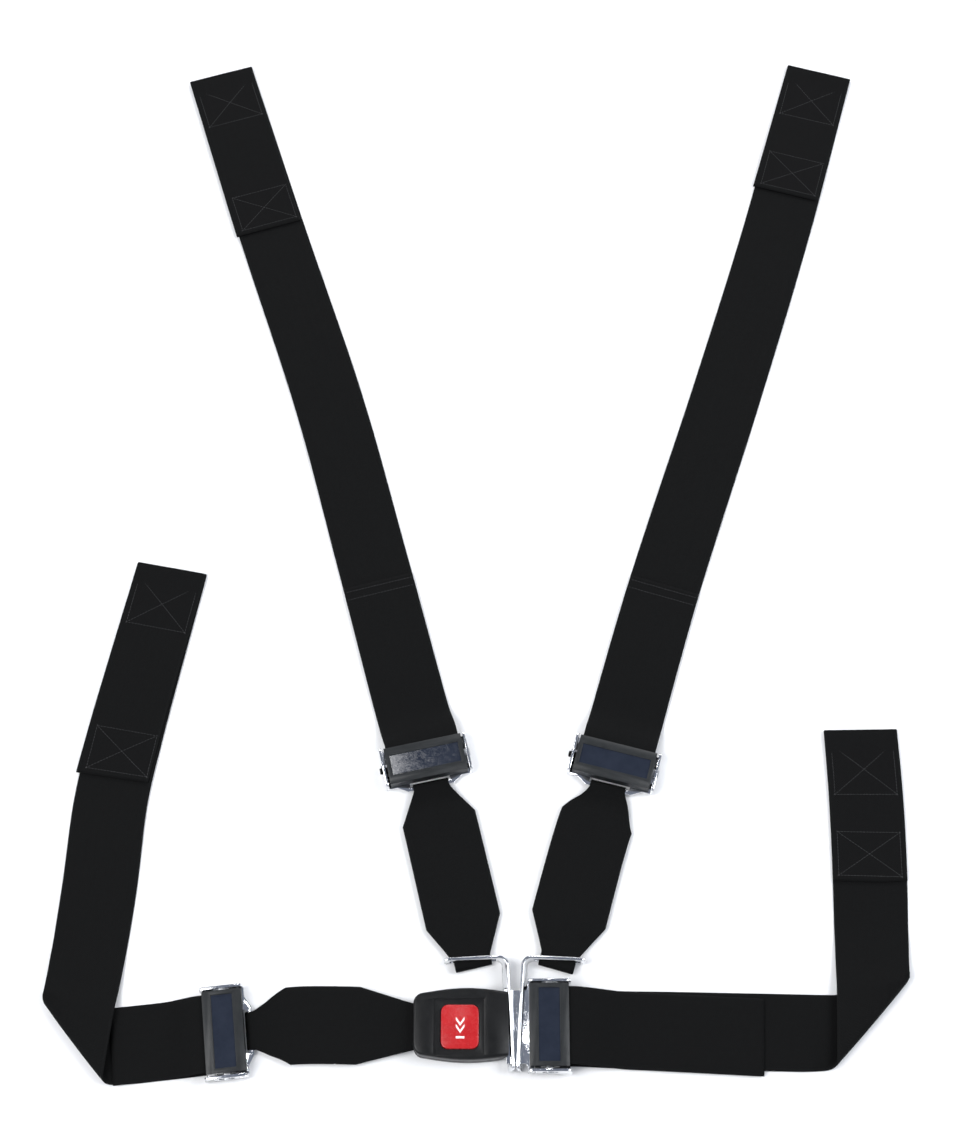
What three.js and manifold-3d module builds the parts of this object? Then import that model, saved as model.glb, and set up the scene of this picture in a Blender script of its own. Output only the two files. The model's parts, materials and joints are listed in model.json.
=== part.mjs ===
// Four-point racing harness, laid flat: 3-inch webbing, a push-button buckle, four tilt-lock
// adjusters and two shoulder brackets that are threaded on the buckle's tongue.
// Millimetres, +Z up. While it is being built, x = y = 0 is the middle of the buckle, the lap
// belt runs along x and the shoulder straps run towards +y; the last lines move the origin to
// the middle of the whole harness, on the surface that it lies on.
import * as THREE from "three";
import { mergeVertices } from "three/addons/utils/BufferGeometryUtils.js";
import Module from "manifold-3d";

const wasm = await Module();
wasm.setup();

// ---------------------------------------------------------------- driving dimensions
const GAP = 0.3; // between pieces that touch
const WEB_WIDTH = 76.2; // 3-inch webbing
const WEB_THICKNESS = 1.5;
const PLATE = 3.0; // stamped steel of the adjusters and the tongue
const TONGUE_HEIGHT = 10.5; // mid-plane of the tongue above the floor
const FRAME_HEIGHT = 4.6; // mid-plane of an adjuster that lies on the floor
const LAYER_GAP = 0.35; // between two layers of one strap

const CASE = {
  left: -47.5, right: 52, centre: 1.4, top: 22, split: 11, wall: 2.2, roof: 3.4,
  endHalf: 30.8, middleHalf: 35.2, corner: 8, edge: 3,
  endFoot: 37.8, endSlope: 0.38, // the mouth's end face leans out by this much per mm
};
const BUTTON = { x: -1.5, y: -2, length: 37, width: 43, corner: 7, top: 22.9, skirt: 15 };
const BEZEL = { x: -2.5, y: -2, length: 49.5, width: 55, depth: 1.2 };
const BUTTON_CLEARANCE = 0.4;

const FRAME = { half: 23.6, wall: 2, floor: 2.6, floorTop: 5.0, top: 14.4, left: -41, right: 36 };
const WEBBING_PIN = { x: -38, z: 9.5, radius: 2.5 };
const BLADE = { tip: -6, half: 16.5, window: [4, 18], windowHalf: 12 };
const NECK = { left: 44, half: 36 }; // the tongue where the brackets sit
const LEAF = { thickness: 1.0, half: 10, root: -27, tip: 17.4, toothTop: 11.4, rise: 2.6 };
const WING = { x: [5, 10], half: 21.5, z: [7.4, 8.3] }; // of the latch, under the button's feet
const EJECTOR = { front: -6.4, length: 8, half: 9, low: 8.9, high: 13.4 };

const ADJUSTER = {
  inner: -21, outer: 22, half: 43, earHalf: 45.3, earTop: 13, shoulder: 34, cornerCut: [-27.3, 24],
  window: [-12, 13], windowHalf: 39.5, slot: [-22.7, -16.5], slotHalf: 21,
  crossBar: 20, endBar: -25,
};
const LOCK_BAR = { half: 46.4, length: 8, height: 5, z: 7 };
const COVER = { half: 40.4, reach: 19.5, crown: 16, sag: 2, wall: 2, skirt: 2.2 };
const COVER_WINDOW = { reach: 10.5, half: 36, depth: 0.8 };

const BRACKET = {
  thickness: 3.2, height: 16.5, rail: 4.5, legEnd: -43, barY: 68.5, cornerRadius: 8,
  barLength: 61, endRadius: 4, legSlot: 38, railGap: 5.8,
};
const LINK_LOOP = 3.75; // middle of the webbing round a link's bar
const LINK_SPACING = 0.95; // each layer of a link from its middle
const LINK_END_WIDTH = 37; // of a link where it goes round its adjuster's end bar
const LINK_END_FLARE = [4, 33]; // from the bar to where it widens, and how long that takes

// where the adjusters lie: middle and the way that the outer strap leaves
const LEFT_SHOULDER = { x: -38.3, y: 274, angle: 102.4, z: FRAME_HEIGHT };
const RIGHT_SHOULDER = { x: 156.6, y: 271, angle: 75.2, z: FRAME_HEIGHT };
const LEFT_LAP = { x: -232.6, y: -5.5, angle: 186.5, z: FRAME_HEIGHT };
const RIGHT_LAP = { x: 86, y: 0, angle: 0, z: TONGUE_HEIGHT };

// middle lines of the outer straps, from the adjuster to the sewn end
const LEFT_SHOULDER_ROUTE = [[-49.5, 318], [-99, 504], [-149.5, 690], [-219, 904], [-293, 1136]];
const RIGHT_SHOULDER_ROUTE = [[167.8, 312], [213, 466], [290.5, 701], [358, 915], [421.5, 1139]];
const LEFT_LAP_CORNER = [-385, -22.8];
const LEFT_LAP_ROUTE = [[-368, 135], [-362, 234], [-351.5, 300], [-313.7, 493.6]];
const RIGHT_LAP_CORNER = [407, -5.5];
const RIGHT_LAP_ROUTE = [[411, 78], [414.5, 188], [415, 252], [414, 310]];
const CORNER_RADIUS = 5; // of the soft fold where a lap strap turns

const SHOULDER_TAIL = 212;
const RIGHT_LAP_TAIL = 212;
const LEFT_LAP_TAIL = 112;
const RIGHT_LAP_TAIL_SWING = [300, -9]; // the tail's end lies a little across its strap
const LEFT_SHOULDER_FOLD = 225; // webbing sewn back on itself at the ends
const RIGHT_SHOULDER_FOLD = 178;
const LEFT_LAP_FOLD = 240;
const RIGHT_LAP_FOLD = 162;

// ---------------------------------------------------------------- finishes
const FINISHES = {
  webbing: { color: 0x101113, roughness: 0.85, metalness: 0 },
  casePlastic: { color: 0x141519, roughness: 0.45, metalness: 0 },
  coverPlastic: { color: 0x33363b, roughness: 0.5, metalness: 0 },
  buttonPlastic: { color: 0xd01e24, roughness: 0.35, metalness: 0 },
  innerPlastic: { color: 0xe8e6df, roughness: 0.5, metalness: 0 },
  chrome: { color: 0xd8dadd, roughness: 0.12, metalness: 1 },
  steel: { color: 0x9a9da2, roughness: 0.35, metalness: 1 },
};
const harness = new THREE.Group();

function add(name, geometry, finish, parent = harness) {
  const mesh = new THREE.Mesh(geometry, new THREE.MeshStandardMaterial(FINISHES[finish]));
  mesh.name = name;
  parent.add(mesh);
  return mesh;
}

// ---------------------------------------------------------------- solids
function toSolid(geometry) {
  const bare = geometry.clone();
  bare.deleteAttribute("normal");
  bare.deleteAttribute("uv");
  const merged = mergeVertices(bare, 1e-4);
  return new wasm.Manifold(new wasm.Mesh({
    numProp: 3,
    vertProperties: new Float32Array(merged.attributes.position.array),
    triVerts: new Uint32Array(merged.index.array),
  }));
}

function toGeometry(solid) {
  const mesh = solid.getMesh();
  const geometry = new THREE.BufferGeometry();
  geometry.setAttribute("position", new THREE.BufferAttribute(mesh.vertProperties, 3));
  geometry.setIndex(new THREE.BufferAttribute(mesh.triVerts, 1));
  return geometry;
}

const join = (...pieces) => toGeometry(pieces.map(toSolid).reduce((a, b) => a.add(b)));
const cut = (piece, ...tools) =>
  toGeometry(tools.map(toSolid).reduce((a, b) => a.subtract(b), toSolid(piece)));
const common = (a, b) => toGeometry(toSolid(a).intersect(toSolid(b)));

function block([x0, x1], [y0, y1], [z0, z1]) {
  return new THREE.BoxGeometry(x1 - x0, y1 - y0, z1 - z0)
    .translate((x0 + x1) / 2, (y0 + y1) / 2, (z0 + z1) / 2);
}

function outlineOf(points) {
  return new THREE.Shape(points.map(([x, y]) => new THREE.Vector2(x, y)));
}

function slab(points, [z0, z1]) {
  return new THREE.ExtrudeGeometry(outlineOf(points), { depth: z1 - z0, bevelEnabled: false })
    .translate(0, 0, z0);
}

// a section drawn in x and z, drawn out along y
function beam(section, half) {
  return new THREE.ExtrudeGeometry(outlineOf(section), { depth: 2 * half, bevelEnabled: false })
    .rotateX(Math.PI / 2).translate(0, half, 0);
}

function rod(radius, half, x, z, sides = 20) {
  return new THREE.CylinderGeometry(radius, radius, 2 * half, sides).translate(x, 0, z);
}

function arc(cx, cy, radius, from, to, steps) {
  return Array.from({ length: steps + 1 }, (_, i) => {
    const angle = THREE.MathUtils.degToRad(from + ((to - from) * i) / steps);
    return [cx + radius * Math.cos(angle), cy + radius * Math.sin(angle)];
  });
}

function roundedRectangle(cx, cy, length, width, radius, steps = 5) {
  const [x, y] = [length / 2 - radius, width / 2 - radius];
  return [
    ...arc(cx + x, cy + y, radius, 0, 90, steps), ...arc(cx - x, cy + y, radius, 90, 180, steps),
    ...arc(cx - x, cy - y, radius, 180, 270, steps), ...arc(cx + x, cy - y, radius, 270, 360, steps),
  ];
}

// A strip of even thickness. Each station is a line across it, from a to b, with the unit normal
// n of its face.
function ribbon(stations, thickness) {
  const corners = stations.flatMap(({ a, b, n }) => {
    const up = n.clone().multiplyScalar(thickness / 2);
    return [a.clone().add(up), b.clone().add(up), b.clone().sub(up), a.clone().sub(up)];
  });
  const faces = [];
  for (let i = 0; i < stations.length - 1; i++) {
    for (let k = 0; k < 4; k++) {
      const [p, q] = [4 * i + k, 4 * i + ((k + 1) % 4)];
      faces.push(p, q, q + 4, p, q + 4, p + 4);
    }
  }
  const last = 4 * (stations.length - 1);
  faces.push(0, 3, 2, 0, 2, 1, last, last + 1, last + 2, last, last + 2, last + 3);
  const geometry = new THREE.BufferGeometry().setFromPoints(corners);
  geometry.setIndex(faces);
  const solid = toSolid(geometry);
  if (solid.volume() > 0) return toGeometry(solid);
  geometry.setIndex(faces.reduceRight((turned, f) => [...turned, f], []));
  return toGeometry(toSolid(geometry));
}

// ---------------------------------------------------------------- webbing
const UP = new THREE.Vector3(0, 0, 1);

// the plan of a strap: where its middle is and which way it runs, at a distance along it
function planOf(points) {
  const curve = new THREE.CatmullRomCurve3(points.map(([x, y]) => new THREE.Vector3(x, y, 0)));
  curve.arcLengthDivisions = 400;
  const length = curve.getLength();
  return {
    length,
    at(s) {
      const inside = THREE.MathUtils.clamp(s / length, 0, 1);
      const way = curve.getTangentAt(inside);
      const middle = curve.getPointAt(inside).addScaledVector(way, s - inside * length);
      return { middle, way };
    },
  };
}

// stations of a strap whose profile is a list of [distance along the plan, height]
function along(plan, profile, halfWidth = () => WEB_WIDTH / 2) {
  return profile.map(([s, z], i) => {
    const before = profile[Math.max(i - 1, 0)];
    const after = profile[Math.min(i + 1, profile.length - 1)];
    const { middle, way } = plan.at(s);
    const slope = new THREE.Vector2(after[0] - before[0], after[1] - before[1]).normalize();
    const side = new THREE.Vector3().crossVectors(UP, way);
    const n = UP.clone().multiplyScalar(slope.x).addScaledVector(way, -slope.y);
    const centre = middle.setZ(z);
    return {
      a: centre.clone().addScaledVector(side, halfWidth(s)),
      b: centre.clone().addScaledVector(side, -halfWidth(s)),
      n,
    };
  });
}

const LOW = WEB_THICKNESS / 2; // middle of a layer on the floor
const SECOND = LOW + WEB_THICKNESS + LAYER_GAP; // middle of a layer on top of that one
const WRAP = LOCK_BAR.height / 2 + GAP + LOW; // radius of the webbing round the lock bar
const WRAP_X = -(LOCK_BAR.length - LOCK_BAR.height) / 2;
const JOINT_X = 0.2; // where the strap ends and its tail begins, on top of the lock bar

// up from the floor, under the outer cross bar, up through the window and round the lock bar
function adjusterWrap(base) {
  const centre = base + LOCK_BAR.z;
  return [
    [JOINT_X, centre + WRAP], ...arc(WRAP_X, centre, WRAP, 90, 270, 8), [1.5, centre - WRAP],
    [10.5, base - PLATE / 2 - 1.1], [24, base - PLATE / 2 - 1.1],
  ];
}

function straightRun(from, to, z, step = 45) {
  const steps = Math.ceil((to - from) / step);
  return Array.from({ length: steps + 1 }, (_, i) => [from + ((to - from) * i) / steps, z]);
}

// the far end, folded over and sewn back on the strap for a length of fold
function sewnEnd(end, fold) {
  const bend = (SECOND - LOW) / 2 + 0.25;
  return [
    ...arc(end - bend, LOW + bend, bend, -90, 90, 6),
    ...straightRun(end - fold, end - 30, SECOND).reverse(),
  ];
}

function tailProfile(base, length) {
  const top = base + LOCK_BAR.z + WRAP;
  const landing = 24 + 3 * (top - SECOND);
  return [
    [JOINT_X + GAP, top], [22, top], [30, top - 1.5], [landing - 8, SECOND + 1.2],
    ...straightRun(landing, length, SECOND),
  ];
}

function routeFrom(adjuster, route) {
  return planOf([...[0, 12, 30].map((d) => alongAxis(adjuster, d)), ...route]);
}

// a point on an adjuster's middle line, or aside to the left of it
function alongAxis({ x, y, angle }, distance, aside = 0) {
  const way = new THREE.Vector2(distance, aside)
    .rotateAround(new THREE.Vector2(), THREE.MathUtils.degToRad(angle));
  return [x + way.x, y + way.y];
}

function shoulderStrap(side, adjuster, route, fold) {
  const plan = routeFrom(adjuster, route);
  const profile = [
    ...adjusterWrap(adjuster.z), ...straightRun(46, plan.length - 12, LOW),
    ...sewnEnd(plan.length, fold),
  ];
  add(`${side}_shoulder_strap`, ribbon(along(plan, profile), WEB_THICKNESS), "webbing");
  const tail = along(plan, tailProfile(adjuster.z, SHOULDER_TAIL));
  add(`${side}_shoulder_strap_tail`, ribbon(tail, WEB_THICKNESS), "webbing");
}

// A lap strap turns through a soft fold: it rolls over an axle that halves the corner, so the
// part after the fold lies on the part before it.
function lapStrap(side, adjuster, corner, route, tailLength, fold, tailTowards = corner) {
  const before = routeFrom(adjuster, [corner]);
  const after = planOf([corner, ...route]);
  const { way: d1, middle: turn } = before.at(before.length);
  const d2 = after.at(0).way;
  const axle = d1.clone().add(d2).normalize(); // along the fold
  const out = d1.clone().sub(d2).normalize(); // across it, away from both parts
  const half = WEB_WIDTH / 2;
  const inset = (Math.PI / 2) * CORNER_RADIUS; // from the corner back to where the roll begins
  const edge = (start, way, offset) => {
    const side = new THREE.Vector3().crossVectors(UP, way).multiplyScalar(offset);
    const from = start.clone().add(side);
    const miss = from.clone().sub(turn).dot(out) + inset;
    return from.addScaledVector(way, -miss / way.dot(out));
  };
  const begins = [edge(turn, d1, half), edge(turn, d1, -half)];
  const advance = axle.clone().multiplyScalar((Math.PI * CORNER_RADIUS * d1.dot(axle)) / d1.dot(out));
  const roll = Array.from({ length: 9 }, (_, i) => {
    const angle = (Math.PI * i) / 8;
    const n = UP.clone().multiplyScalar(Math.cos(angle)).addScaledVector(out, -Math.sin(angle));
    const shift = out.clone().multiplyScalar(CORNER_RADIUS * Math.sin(angle))
      .addScaledVector(advance, i / 8)
      .setZ(LOW + CORNER_RADIUS * (1 - Math.cos(angle)));
    const [a, b] = begins.map((p) => p.clone().add(shift));
    return { a, b, n };
  });
  const rise = LOW + 2 * CORNER_RADIUS;
  const first = [
    ...adjusterWrap(adjuster.z),
    ...straightRun(24 + 4 * (adjuster.z - FRAME_HEIGHT) + 22, before.length - 62, LOW),
  ];
  const second = [
    [44, rise - 1], [64, SECOND + 2.5], [84, SECOND + 0.4], [104, LOW],
    ...straightRun(130, after.length - 12, LOW), ...sewnEnd(after.length, fold),
  ];
  // after the roll the strip's upper face looks down, so its lines are turned end for end
  const turned = along(after, second).map(({ a, b, n }) => ({ a: b, b: a, n: n.negate() }));
  const stations = [...along(before, first), ...roll, ...turned];
  add(`${side}_lap_strap`, ribbon(stations, WEB_THICKNESS), "webbing");
  const tail = along(routeFrom(adjuster, [tailTowards]), tailProfile(adjuster.z, tailLength));
  add(`${side}_lap_strap_tail`, ribbon(tail, WEB_THICKNESS), "webbing");
}

// A link is one length of webbing round two bars, sewn to itself. It is narrow where it goes
// round them and full width between. start is the middle of the first bar, width and flare are
// the link's there, loop is the slack of its turn, and sway is how far it lies to its left.
function link(name, start, adjuster, { width, flare, loop = 0, sway = 0 }) {
  const end = [...alongAxis(adjuster, ADJUSTER.endBar), adjuster.z];
  const aside = (distance, share) => alongAxis(adjuster, distance, share * sway);
  const plan = planOf([start, aside(-60, 1), aside(-42, 0.2), aside(ADJUSTER.endBar, 0.2)]);
  const widening = (narrow, [from, length], distance) =>
    THREE.MathUtils.lerp(narrow, WEB_WIDTH, THREE.MathUtils.clamp((distance - from) / length, 0, 1));
  const halfWidth = (s) => Math.min(
    widening(width, flare, s), widening(LINK_END_WIDTH, LINK_END_FLARE, plan.length - s),
  ) / 2;
  const height = (s) => THREE.MathUtils.lerp(start[2], end[2], THREE.MathUtils.clamp(s / plan.length, 0, 1));
  const middle = plan.length / 2;
  const stops = [18, flare[0] + flare[1], middle,
    plan.length - LINK_END_FLARE[0] - LINK_END_FLARE[1], plan.length - 14];
  const layer = (offset, from, to) =>
    stops.filter((s) => s > from && s < to).map((s) => [s, height(s) + offset]);
  const profile = [
    [middle - 1, height(middle) - LINK_SPACING],
    ...layer(-LINK_SPACING, 0, middle - 1).reverse(),
    ...arc(loop, start[2], LINK_LOOP, 290, 270, 2),
    ...arc(-loop, start[2], LINK_LOOP, 270, 90, 8),
    ...arc(loop, start[2], LINK_LOOP, 90, 70, 2),
    ...layer(LINK_SPACING, 0, plan.length),
    ...arc(plan.length, end[2], LINK_LOOP, 110, -110, 10),
    ...layer(-LINK_SPACING, middle + 1, plan.length).reverse(),
    [middle + 1, height(middle) - LINK_SPACING],
  ];
  add(name, ribbon(along(plan, profile, halfWidth), WEB_THICKNESS), "webbing");
}

// ---------------------------------------------------------------- adjusters
// In an adjuster's own axes +x is the way that the outer strap leaves, y is across, and z = 0
// is the middle of its plate.
function adjusterPlate(withEndBar) {
  const [cutX, cutY] = ADJUSTER.cornerCut;
  return [
    [ADJUSTER.crossBar, -ADJUSTER.half], [ADJUSTER.crossBar, ADJUSTER.half],
    [ADJUSTER.inner, ADJUSTER.half],
    ...(withEndBar ? [[ADJUSTER.inner, ADJUSTER.shoulder], [cutX, cutY],
      [cutX, -cutY], [ADJUSTER.inner, -ADJUSTER.shoulder]] : []),
    [ADJUSTER.inner, -ADJUSTER.half],
  ];
}

function adjusterFrame(tongueOutline) {
  const deep = [-PLATE, PLATE];
  const plate = [-PLATE / 2, PLATE / 2];
  const ear = (sign) => {
    const y = [sign * (ADJUSTER.half - 0.4), sign * ADJUSTER.earHalf].sort((a, b) => a - b);
    const side = [
      [ADJUSTER.inner, -PLATE / 2], [ADJUSTER.outer, -PLATE / 2],
      ...arc(ADJUSTER.outer - 4, ADJUSTER.earTop - 4, 4, 0, 90, 3),
      ...arc(ADJUSTER.inner + 4, ADJUSTER.earTop - 4, 4, 90, 180, 3),
    ];
    return beam(side, (y[1] - y[0]) / 2).translate(0, (y[0] + y[1]) / 2, 0);
  };
  const travel = 6;
  const barSlot = block(
    [-LOCK_BAR.length / 2 - travel / 2, LOCK_BAR.length / 2 + travel / 2 + 1], [-60, 60],
    [LOCK_BAR.z - LOCK_BAR.height / 2 - GAP, LOCK_BAR.z + LOCK_BAR.height / 2 + GAP],
  );
  const pegHole = rod(1.9, 60, PEG.x, PEG.z, 12);
  const window = block(ADJUSTER.window, [-ADJUSTER.windowHalf, ADJUSTER.windowHalf], deep);
  const parts = [ear(-1), ear(1), slab(adjusterPlate(!tongueOutline), plate)];
  if (tongueOutline) parts.push(slab(tongueOutline, plate));
  const tools = [barSlot, pegHole, window];
  if (tongueOutline) {
    tools.push(block(BLADE.window.map((x) => x - RIGHT_LAP.x), [-BLADE.windowHalf, BLADE.windowHalf], deep));
  } else {
    tools.push(block(ADJUSTER.slot, [-ADJUSTER.slotHalf, ADJUSTER.slotHalf], deep));
  }
  return cut(join(...parts), ...tools);
}

const PEG = { x: -13.5, z: 7.5, radius: 1.5 };

function adjusterCover() {
  const radius = (COVER.reach ** 2 + COVER.sag ** 2) / (2 * COVER.sag);
  const sweep = THREE.MathUtils.radToDeg(Math.asin(COVER.reach / radius));
  const crown = (drop) => arc(0, COVER.crown - radius, radius - drop, 90 - sweep, 90 + sweep, 8);
  const outside = [
    [COVER.reach, COVER.crown - COVER.sag - COVER.wall], ...crown(0), [-COVER.reach, COVER.skirt],
    [-COVER.reach + COVER.wall, COVER.skirt],
  ];
  const under = crown(COVER.wall).reverse().filter(([x]) => x > -COVER.reach + COVER.wall + 0.5);
  const shell = beam([...outside, [-COVER.reach + COVER.wall, COVER.crown - COVER.sag - COVER.wall],
    ...under.slice(0, -1)], COVER.half);
  const inside = COVER.crown - COVER.sag - COVER.wall / 2;
  const wall = (sign) => block(
    [-COVER.reach + 0.5, COVER.reach - 1],
    [sign * COVER.half, sign * (COVER.half - COVER.wall)].sort((a, b) => a - b), [COVER.skirt, inside],
  );
  const peg = rod(PEG.radius, ADJUSTER.earHalf - 0.4, PEG.x, PEG.z, 12);
  const middle = block([-30, 30], [-COVER.half + COVER.wall, COVER.half - COVER.wall], [0, 30]);
  const barNotch = block([-8.5, 9.5], [-60, 60], [0, LOCK_BAR.z + LOCK_BAR.height / 2 + 2 * GAP]);
  const recess = block([-COVER_WINDOW.reach, COVER_WINDOW.reach],
    [-COVER_WINDOW.half, COVER_WINDOW.half], [COVER.crown - COVER.sag / 3 - COVER_WINDOW.depth, 30]);
  return cut(join(shell, cut(join(wall(-1), wall(1)), barNotch), cut(peg, middle)), recess);
}

function lockBar() {
  const reach = (LOCK_BAR.length - LOCK_BAR.height) / 2;
  return beam([
    ...arc(reach, LOCK_BAR.z, LOCK_BAR.height / 2, -90, 90, 8),
    ...arc(-reach, LOCK_BAR.z, LOCK_BAR.height / 2, 90, 270, 8),
  ], LOCK_BAR.half);
}

function adjuster(prefix, place, frameName, tongueOutline) {
  const group = new THREE.Group();
  group.position.set(place.x, place.y, place.z);
  group.rotation.z = THREE.MathUtils.degToRad(place.angle);
  add(frameName, adjusterFrame(tongueOutline), "chrome", group);
  add(`${prefix}_adjuster_cover`, adjusterCover(), "coverPlastic", group);
  add(`${prefix}_lock_bar`, lockBar(), "steel", group);
  harness.add(group);
}

// ---------------------------------------------------------------- buckle
function caseOutline(inset) {
  const [left, right] = [CASE.left + inset, CASE.right - inset];
  const bulge = 12;
  const side = (sign) => Array.from({ length: bulge + 1 }, (_, i) => {
    const t = i / bulge;
    const x = THREE.MathUtils.lerp(left + CASE.corner, right, t);
    const y = CASE.endHalf + (CASE.middleHalf - CASE.endHalf) * Math.sin(Math.PI * t) - inset;
    return [x, CASE.centre + sign * y];
  });
  const radius = CASE.corner;
  return [
    ...side(-1), ...side(1).reverse(),
    ...arc(left + radius, CASE.centre + CASE.endHalf - inset - radius, radius, 110, 180, 4),
    ...arc(left + radius, CASE.centre - CASE.endHalf + inset + radius, radius, 180, 250, 4),
  ];
}

function caseBlock(inset, [z0, z1], edge) {
  const shape = outlineOf(caseOutline(inset + edge));
  return new THREE.ExtrudeGeometry(shape, {
    depth: z1 - z0 - 2 * edge, bevelEnabled: edge > 0, bevelThickness: edge, bevelSize: edge,
    bevelSegments: 3,
  }).translate(0, 0, z0 + edge);
}

// everything beyond the leaning end face; back moves the face inwards
function beyondMouth(back) {
  const [low, high] = [-5, 30];
  const face = (z) => [CASE.endFoot - back + CASE.endSlope * z, z];
  return beam([face(low), [90, low], [90, high], face(high)], 60);
}

function buckleShells() {
  const outside = cut(caseBlock(0, [0, CASE.top], CASE.edge), beyondMouth(0));
  const inside = cut(
    caseBlock(CASE.wall, [CASE.wall, CASE.top - CASE.roof], 0), beyondMouth(CASE.wall),
  );
  const webbingMouth = block([CASE.left - 5, CASE.left + 6], [-26.5, 26.5], [2.6, 16.4]);
  const tongueMouth = block(
    [36, 60], [-BLADE.half - 1.5, BLADE.half + 1.5],
    [TONGUE_HEIGHT - PLATE / 2 - 0.8, TONGUE_HEIGHT + PLATE / 2 + 0.8],
  );
  const hole = slab(roundedRectangle(BUTTON.x, BUTTON.y, BUTTON.length + 2 * BUTTON_CLEARANCE,
    BUTTON.width + 2 * BUTTON_CLEARANCE, BUTTON.corner), [12, 30]);
  const bezel = slab(roundedRectangle(BEZEL.x, BEZEL.y, BEZEL.length, BEZEL.width, 1.5, 2),
    [CASE.top - BEZEL.depth, 30]);
  const posts = SCREWS.map(([x, y]) => {
    const post = new THREE.CylinderGeometry(3.4, 3.4, CASE.top - CASE.roof + 0.5 - CASE.wall, 14);
    return post.rotateX(Math.PI / 2).translate(x, y, (CASE.top - CASE.roof + CASE.wall) / 2);
  });
  const bores = SCREWS.map(([x, y]) => screwShape(GAP).translate(x, y, 0));
  const stop = block([-31.2, -29], [-12, 12], [CASE.wall - 0.5, 14]);
  const shell = cut(outside, inside, webbingMouth, tongueMouth, hole, bezel);
  const whole = cut(join(shell, ...posts), ...bores);
  const half = (z) => block([-80, 80], [-60, 60], z);
  const base = common(whole, half([-5, CASE.split - GAP / 2]));
  add("buckle_cover", common(whole, half([CASE.split + GAP / 2, 40])), "casePlastic");
  add("buckle_base", join(base, stop), "casePlastic");
}

const SCREWS = [[-10, 30.2], [22, 30.2], [-10, -29.4], [22, -29.4]];

// a case screw, driven from underneath; extra makes the bore that it sits in
function screwShape(extra) {
  const profile = [
    [0, 0.5 - extra], [2.6 + extra, 0.5 - extra], [2.6 + extra, 2.4 + extra], [1.3 + extra, 2.4 + extra],
    [1.3 + extra, 15 + extra], [0, 15 + extra],
  ];
  const below = extra > 0 ? profile.map(([r, z]) => [r, z < 1 ? -1 : z]) : profile;
  return new THREE.LatheGeometry(below.map(([r, z]) => new THREE.Vector2(r, z)), 14)
    .rotateX(Math.PI / 2);
}

function caseScrews() {
  SCREWS.forEach(([x, y], i) => {
    add(`case_screw_${i + 1}`, screwShape(0).translate(x, y, 0), "steel");
  });
}

// the steel channel that carries the load from the webbing pin to the tongue
function buckleFrame() {
  const wall = (sign) => block([FRAME.left, FRAME.right],
    [sign * FRAME.half, sign * (FRAME.half + FRAME.wall)].sort((a, b) => a - b),
    [FRAME.floor, FRAME.top]);
  const floor = block([-26, FRAME.right], [-FRAME.half - 1, FRAME.half + 1], [FRAME.floor, FRAME.floorTop]);
  const pinHole = rod(WEBBING_PIN.radius + GAP, 60, WEBBING_PIN.x, WEBBING_PIN.z);
  const rivetHoles = LEAF_RIVETS.map(([x, y]) =>
    new THREE.CylinderGeometry(1.8, 1.8, 20, 14).rotateX(Math.PI / 2).translate(x, y, 0));
  add("buckle_frame", cut(join(wall(-1), wall(1), floor), pinHole, ...rivetHoles), "steel");
  const pin = rod(WEBBING_PIN.radius, FRAME.half + FRAME.wall + 0.8, WEBBING_PIN.x, WEBBING_PIN.z);
  add("webbing_pin", pin, "steel");
}

const LEAF_RIVETS = [[-22, 6], [-22, -6]];

// The latch is a leaf of spring steel, riveted at its back end. Its tip rises to a tooth that
// stands in the tongue's window, until the button's feet press the leaf down.
function latchLeaf() {
  const low = FRAME.floorTop + GAP;
  const t = LEAF.thickness;
  const section = [
    [LEAF.root, low], [-16, low], [LEAF.tip - 4, low + LEAF.rise], [LEAF.tip, low + LEAF.rise],
    [LEAF.tip, LEAF.toothTop - 0.6], [LEAF.tip - 1, LEAF.toothTop], [LEAF.tip - 2.6, LEAF.toothTop - 2],
    [LEAF.tip - 2.6, low + LEAF.rise + t], [LEAF.tip - 4, low + LEAF.rise + t], [-16, low + t],
    [LEAF.root, low + t],
  ];
  const holes = LEAF_RIVETS.map(([x, y]) =>
    new THREE.CylinderGeometry(1.8, 1.8, 20, 14).rotateX(Math.PI / 2).translate(x, y, 5));
  const wings = block(WING.x, [-WING.half, WING.half], WING.z);
  add("latch_leaf", cut(join(beam(section, LEAF.half), wings), ...holes), "steel");
  const top = low + t + GAP;
  const profile = [
    [0, FRAME.floor - GAP], [1.5, FRAME.floor - GAP], [1.5, top], [2.6, top], [2.2, top + 1.2], [0, top + 1.4],
  ].map(([r, z]) => new THREE.Vector2(r, z));
  LEAF_RIVETS.forEach(([x, y], i) => {
    const rivet = new THREE.LatheGeometry(profile, 14).rotateX(Math.PI / 2).translate(x, y, 0);
    add(`latch_rivet_${i + 1}`, rivet, "steel");
  });
}

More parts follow.
